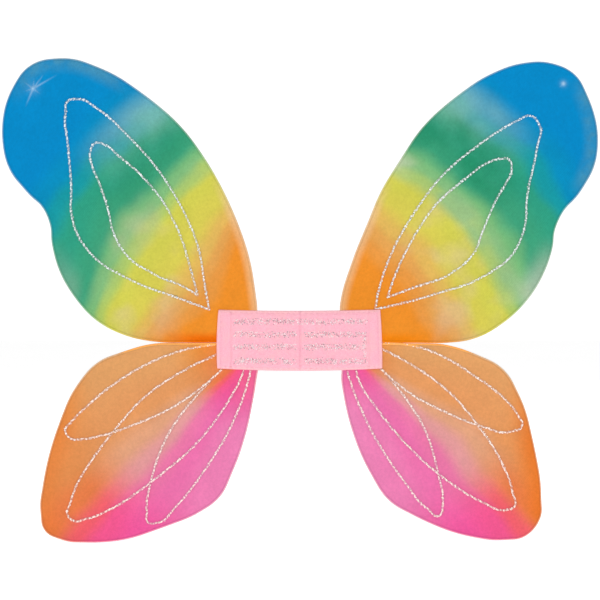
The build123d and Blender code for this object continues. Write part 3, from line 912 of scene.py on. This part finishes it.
class Panel:
    """One half of the felt panel: where its hem starts and it ends, and the depths of its faces."""

    def __init__(self, word):
        self.word = word
        self.side = SIDES[word]
        self.loop = half_outline(word)
        segs = segments([refined(self.loop, 3.0)])
        self.edge = segs[np.abs(segs[:, :, 0]).max(axis=1) > 1e-3]
        self.end = np.abs(self.loop[:, 0]).max()
        hem = [abs(v.co.x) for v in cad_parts[word + "_front_felt"].data.vertices
               if v.co.y / MM < FELT_FRONT - HEM_STEP]
        self.hem = min(hem) / MM

    def raised(self, points):
        """The hem's extra layer: a soft step, then a dip along its stitches."""
        out = np.abs(points[:, 0])
        step = 0.75 * smoothstep((out - self.hem + 0.6) / 1.4) + 0.15 * hump(out - self.hem - 0.9, 0.8)
        return step - 0.45 * hump(out - self.end + HEM_STITCH_INSET, 0.8)

    def groove(self, points, depth):
        """Where shade gathers: beside the hem, along its stitches, down the crease and by the edge."""
        out = np.abs(points[:, 0])
        beside = 0.3 * hump(out - self.hem + 0.2, 0.5)
        row = 0.45 * hump(out - self.end + HEM_STITCH_INSET, 0.7)
        fold = 0.45 * hump(points[:, 0], 0.9)
        rim = 0.9 * hump(depth - 0.1, 0.55) * (out < self.end - 1.5)
        return np.clip(beside + row + fold + rim, 0, 1)

    def crease(self, points):
        """The fold line down the middle, pressed in by its stitches."""
        return 0.55 * hump(points[:, 0], 1.1) + 0.2 * hump(points[:, 0], 3.0)

    def seams(self, depth, points):
        """The dip along the stitches at the top and bottom edges."""
        off_hem = np.abs(points[:, 0]) < self.hem
        beads = 0.75 + 0.25 * np.cos(points[:, 0] * 2 * np.pi / STITCH_PITCH)
        return off_hem * 0.32 * beads * hump(depth - STITCH_INSET, 0.75)

    def front(self, points, depth):
        edge = 1.15 * (1 - smoothstep(depth / 4.5)) + 1.1 * rounded(depth, 0.9)
        fuzz = 0.09 * waves(points, 9, 31) + 0.05 * waves(points, 2.8, 32)
        return (FELT_FRONT + 0.1 + edge + self.crease(points) + self.seams(depth, points)
                - self.raised(points) * (0.4 + 0.6 * smoothstep(depth / 1.5)) + fuzz)

    def back(self, points, depth):
        edge = 0.5 * (1 - smoothstep(depth / 3.5)) + rounded(depth, 0.9)
        fuzz = 0.08 * waves(points, 9, 33) + 0.05 * waves(points, 2.8, 34)
        return FELT_BACK - 0.1 - edge - 0.6 * (self.crease(points) + self.seams(depth, points)) + fuzz

    def front_at(self, points):
        return self.front(points, distance(points, self.edge))

    def back_at(self, points):
        return self.back(points, distance(points, self.edge))

    def build(self, material):
        form = relief([self.loop], self.front, self.back, FELT_SPACING, FELT_RINGS,
                      {"groove": self.groove}, seam_x=0.0, dense=self.dense())
        piece = make_piece(self.word + "_panel_felt", [(form, material)])
        self.blend(piece)
        names = [self.word + "_front_felt", self.word + "_back_felt"]
        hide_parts(*names, "crease_front_felt", "crease_back_felt")

    def dense(self):
        """Finer points along the hem's step, which is sharper than the rest."""
        x = self.side * self.hem
        return [(np.array([x, z]), 1.9, 0.55) for z in np.arange(-22.5, 24, 2.6)]

    def blend(self, piece):
        """Bakes the placement of a piece of the panel into its mesh."""
        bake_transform(piece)


def stitch(a, b, surface, outward):
    """One length of thread between two holes, bedded in the felt. outward is -1 for the front."""
    a, b = np.array(a, float), np.array(b, float)
    steps = np.linspace(0, 1, 9)
    flat = a + (b - a) * steps[:, None]
    y = surface(flat) + outward * (-0.45 + 0.62 * np.sin(np.pi * steps) ** 0.6)
    along = (b - a) / np.linalg.norm(b - a)
    return sweep(at_depth(flat, y), (-along[1], 0, along[0]), circle(THREAD_RADIUS))


def stitch_row(panel, line, count, material):
    """Stitches on both faces at an even pitch. The line gives (x, z) for a distance along it."""
    ends = [(line(i * STITCH_PITCH), line(i * STITCH_PITCH + STITCH_LENGTH)) for i in range(count)]
    return [(stitch(a, b, face, outward), material) for a, b in ends
            for face, outward in ((panel.front_at, -1), (panel.back_at, 1))]


def panel_stitches(panel, material):
    """Rows along the top and bottom edges and down the hem, showing on both faces."""
    side = panel.side

    def edge_z(x, top):
        rows = panel.loop[(panel.loop[:, 1] > 0) == top]
        rows = rows[np.argsort(np.abs(rows[:, 0]))]
        return np.interp(x, np.abs(rows[:, 0]), rows[:, 1])

    def along(top):
        inset = -STITCH_INSET if top else STITCH_INSET
        return lambda s: (side * (EDGE_STITCH_START + s), edge_z(EDGE_STITCH_START + s, top) + inset)

    def up(s):
        return (side * (panel.end - HEM_STITCH_INSET), HEM_STITCH_FOOT + s)

    stitches = stitch_row(panel, up, END_STITCHES, material)
    for top in (True, False):
        stitches += stitch_row(panel, along(top), EDGE_STITCHES, material)
    piece = make_piece(panel.word + "_panel_thread", stitches)
    panel.blend(piece)
    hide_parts(panel.word + "_panel_stitches")


def crease_stitches(panel, material):
    """The row down the crease, between the halves."""
    stitches = stitch_row(panel, lambda s: (0.0, CREASE_STITCH_FOOT + s), END_STITCHES, material)
    piece = make_piece("crease_thread", stitches)
    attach(piece, "root")
    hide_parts("crease_stitches")


# ---- shoulder straps ----
def smooth_route(points, step):
    """A smooth line through the points, at an even step."""
    points = np.array(points, float)
    padded = np.concatenate([[2 * points[0] - points[1]], points, [2 * points[-1] - points[-2]]])
    line = []
    for p0, p1, p2, p3 in zip(padded, padded[1:], padded[2:], padded[3:]):
        t = np.linspace(0, 1, 24, endpoint=False)[:, None]
        line.append(0.5 * (2 * p1 + (p2 - p0) * t + (2 * p0 - 5 * p1 + 4 * p2 - p3) * t ** 2
                           + (3 * p1 - p0 - 3 * p2 + p3) * t ** 3))
    line = np.concatenate(line + [points[-1:]])
    run = np.concatenate([[0], np.cumsum(np.linalg.norm(np.diff(line, axis=0), axis=1))])
    even = np.linspace(0, run[-1], int(run[-1] / step) + 1)
    return np.stack([np.interp(even, run, line[:, i]) for i in (0, 1)], axis=1)


def ribbed_section():
    """Across an elastic band: lengthwise ribs on both faces, round at the edges."""
    u = np.linspace(-1, 1, 49)
    edge = np.sqrt(1 - np.clip((np.abs(u) - 0.93) / 0.07, 0, 1) ** 2)
    thick = (STRAP_HALF + STRAP_RIB * np.cos(u * np.pi * STRAP_RIBS)) * edge
    top = np.stack([u * STRAP_WIDTH / 2, thick], axis=1)
    return np.concatenate([top, top[-2:0:-1] * (1, -1)])


def strap(word, material):
    x = SIDES[word] * STRAP_X
    route = smooth_route(STRAP_ROUTE, 1.1)
    form = sweep(np.insert(route, 0, x, axis=1), (1, 0, 0), ribbed_section())
    piece = make_piece(word + "_shoulder_strap", [(form, material)])
    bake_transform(piece)
    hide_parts(word + "_strap_loop", word + "_strap_ends")


def bar_tacks(word, material):
    """Short bars of close zigzag thread that sew each strap end down."""
    low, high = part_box(word + "_bar_tacks")
    heights = sorted({round(v.co.z / MM, 1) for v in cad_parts[word + "_bar_tacks"].data.vertices})
    bars = [(a + b) / 2 for a, b in zip(heights[::2], heights[1::2])]
    top = STRAP_ROUTE[0][0] + STRAP_HALF - 0.08
    steps = np.linspace(-1, 1, 7)
    rows = []
    for z in bars:
        for i, x in enumerate(np.linspace(low.x / MM + 0.2, high.x / MM - 0.2, TACK_PASSES)):
            across = x + (TACK_LEAN if i % 2 else -TACK_LEAN) * steps
            path = np.stack([across, top + TACK_ARCH * (1 - steps ** 4), z + TACK_HALF * steps], axis=1)
            rows.append(sweep(path, (1, 0, 0), circle(TACK_THREAD, 6)))
    piece = make_piece(word + "_bar_tack_thread", [(row, material) for row in rows])
    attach(piece, word + "_half")
    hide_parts(word + "_bar_tacks")


def finish_node(name, material):
    """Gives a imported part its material."""
    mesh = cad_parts[name].data
    mesh.materials.clear()
    mesh.materials.append(material)


# ---- the whole object ----
# For each wing, what its dye is like: the settings of upper_dye or lower_dye.
DYES = {
    "left_upper": {"shifts": (0, 0, 0), "bows": (21, 10, 125), "denseness": 0.35, "fairness": 0.3,
                   "haze": (0.45, 143), "lowest": (244, 112, 4)},
    "right_upper": {"shifts": (15, 9, 17), "bows": (10, 6, 133), "denseness": 0.75, "fairness": 0.85,
                    "haze": (0.5, 127), "lowest": (248, 138, 16)},
    "left_lower": {"shifts": (0.0, -1.2), "deep_to": 80, "redness": 0.27, "outer_orange": 0.35},
    "right_lower": {"shifts": (3.0, -0.5), "deep_to": 58, "redness": 0.05, "outer_orange": 0.75},
}
# For upper and lower wings, how pale the rim is and the colour of the glue where it stands up.
RIMS = {"upper": 0.22, "lower": 0.36}
GLUES = {"upper": (228, 236, 240), "lower": (255, 238, 228)}
# Foil grains: colours of their painted glint from the darkest to the brightest, and how metallic they
# are.
GRAINS = {
    "upper": ([(124, 132, 138), (188, 196, 200), (232, 237, 238), (255, 255, 255)], 0.5),
    "lower": ([(190, 146, 140), (228, 200, 190), (250, 234, 224), (255, 250, 244)], 0.4),
    "felt": ([(152, 112, 126), (204, 166, 176), (240, 218, 222), (255, 251, 249)], 0.25),
}


def build_wings(grains, wire, tie):
    """The covers and their glitter lines, with each wire and gather tie."""
    for order, (name, settings) in enumerate(DYES.items()):
        word, level = name.split("_")
        dye_of = upper_dye if level == "upper" else lower_dye
        forward = membrane(name, SIDES[word], nylon(name + "_nylon", dye_of, settings, RIMS[level]))
        glue = glitter_glue(name + "_glitter_glue", dye_of, settings, GLUES[level])
        veins = (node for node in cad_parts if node.startswith(name + "_vein"))
        for i, node in enumerate(sorted(veins)):
            glitter_vein(node, forward, glue, grains[level], 100 + 10 * order + i)
        finish_node(name + "_wire", wire)
        finish_node(name + "_gather_tie", tie)


def build():
    grains = {kind: glitter_grain(kind + "_glitter_grain", *look) for kind, look in GRAINS.items()}
    build_wings(grains, steel(), spun("tie_thread", (198, 196, 190), (240, 240, 236), 0.0005))
    pink_felt = felt()
    pink_thread = spun("pink_thread", (226, 160, 178), (252, 192, 206))
    tape = woven("binding_tape", (196, 190, 180), (238, 234, 226), 0.0008)
    elastic = woven("elastic", (204, 202, 204), (250, 248, 248), 0.0011, 0.7)
    for word, side in SIDES.items():
        panel = Panel(word)
        panel.build(pink_felt)
        panel_stitches(panel, pink_thread)
        draw = np.random.default_rng(200 + side)
        rows = enumerate(outlines(word + "_panel_glitter", GLITTER_FRONT))
        parts = [(strewn([row], panel.front_at, draw, 40 + i), grains["felt"]) for i, row in rows]
        piece = make_piece(word + "_panel_glitter_grains", parts)
        panel.blend(piece)
        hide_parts(word + "_panel_glitter")
        finish_node(word + "_binding_tape", tape)
        strap(word, elastic)
        bar_tacks(word, pink_thread)
    crease_stitches(panel, pink_thread)
    middle = strewn(outlines("crease_glitter", GLITTER_FRONT), panel.front_at,
                    np.random.default_rng(203), 60)
    piece = make_piece("crease_glitter_grains", [(middle, grains["felt"])])
    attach(piece, "root")
    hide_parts("crease_glitter")


# ---- camera, light and floor ----
FRAME_WIDTH = 0.504
VIEW_HEIGHT = 0.0336
LENS = 85.0
SENSOR = 36.0
LAMP_AIM = (0, 0, 0.03)
FLOOR_REACH = 6.0
FLOOR_GAP = 0.0004


def camera():
    data = bpy.data.cameras.new("camera")
    data.lens = LENS
    data.sensor_width = SENSOR
    data.clip_end = 50
    holder = new_object("camera", data)
    holder.location = (0, -FRAME_WIDTH / SENSOR * LENS + WIRE_Y * MM, VIEW_HEIGHT)
    holder.rotation_euler = (math.radians(90), 0, 0)
    bpy.context.scene.camera = holder


def area_light(name, where, size, power):
    """A square lamp that faces the middle of the wings."""
    data = bpy.data.lights.new(name, "AREA")
    data.size = size
    data.energy = power
    lamp = new_object(name, data)
    lamp.location = where
    lamp.rotation_euler = (Vector(LAMP_AIM) - Vector(where)).to_track_quat("-Z", "Y").to_euler()


def studio():
    """White all round, with soft lamps that model the surfaces, and a plain pale floor."""
    world = bpy.data.worlds.new("studio")
    bpy.context.scene.world = world
    world.use_nodes = True
    background = world.node_tree.nodes["Background"]
    seen = add("LightPath", {}, out="Is Camera Ray", beside=background)
    put(background, {"Color": (1, 1, 1, 1), "Strength": maths("ADD", 0.5, product(seen, 0.6))})
    area_light("key", (-0.9, -1.3, 1.3), 1.1, 11.5)
    area_light("fill", (1.2, -1.2, 0.4), 1.2, 4.5)
    area_light("back", (0.3, 1.5, 1.2), 1.2, 14)
    mesh = bpy.data.meshes.new("floor")
    height = cad_low.z - FLOOR_GAP
    corners = [(x, y, height) for x, y in FLOOR_REACH * np.array([(-1, -1), (1, -1), (1, 1), (-1, 1)])]
    mesh.from_pydata(corners, [], [(0, 1, 2, 3)])
    mesh.materials.append(floor_material())
    new_object("floor", mesh)
    bpy.context.scene.view_settings.view_transform = "Standard"


build()
camera()
studio()
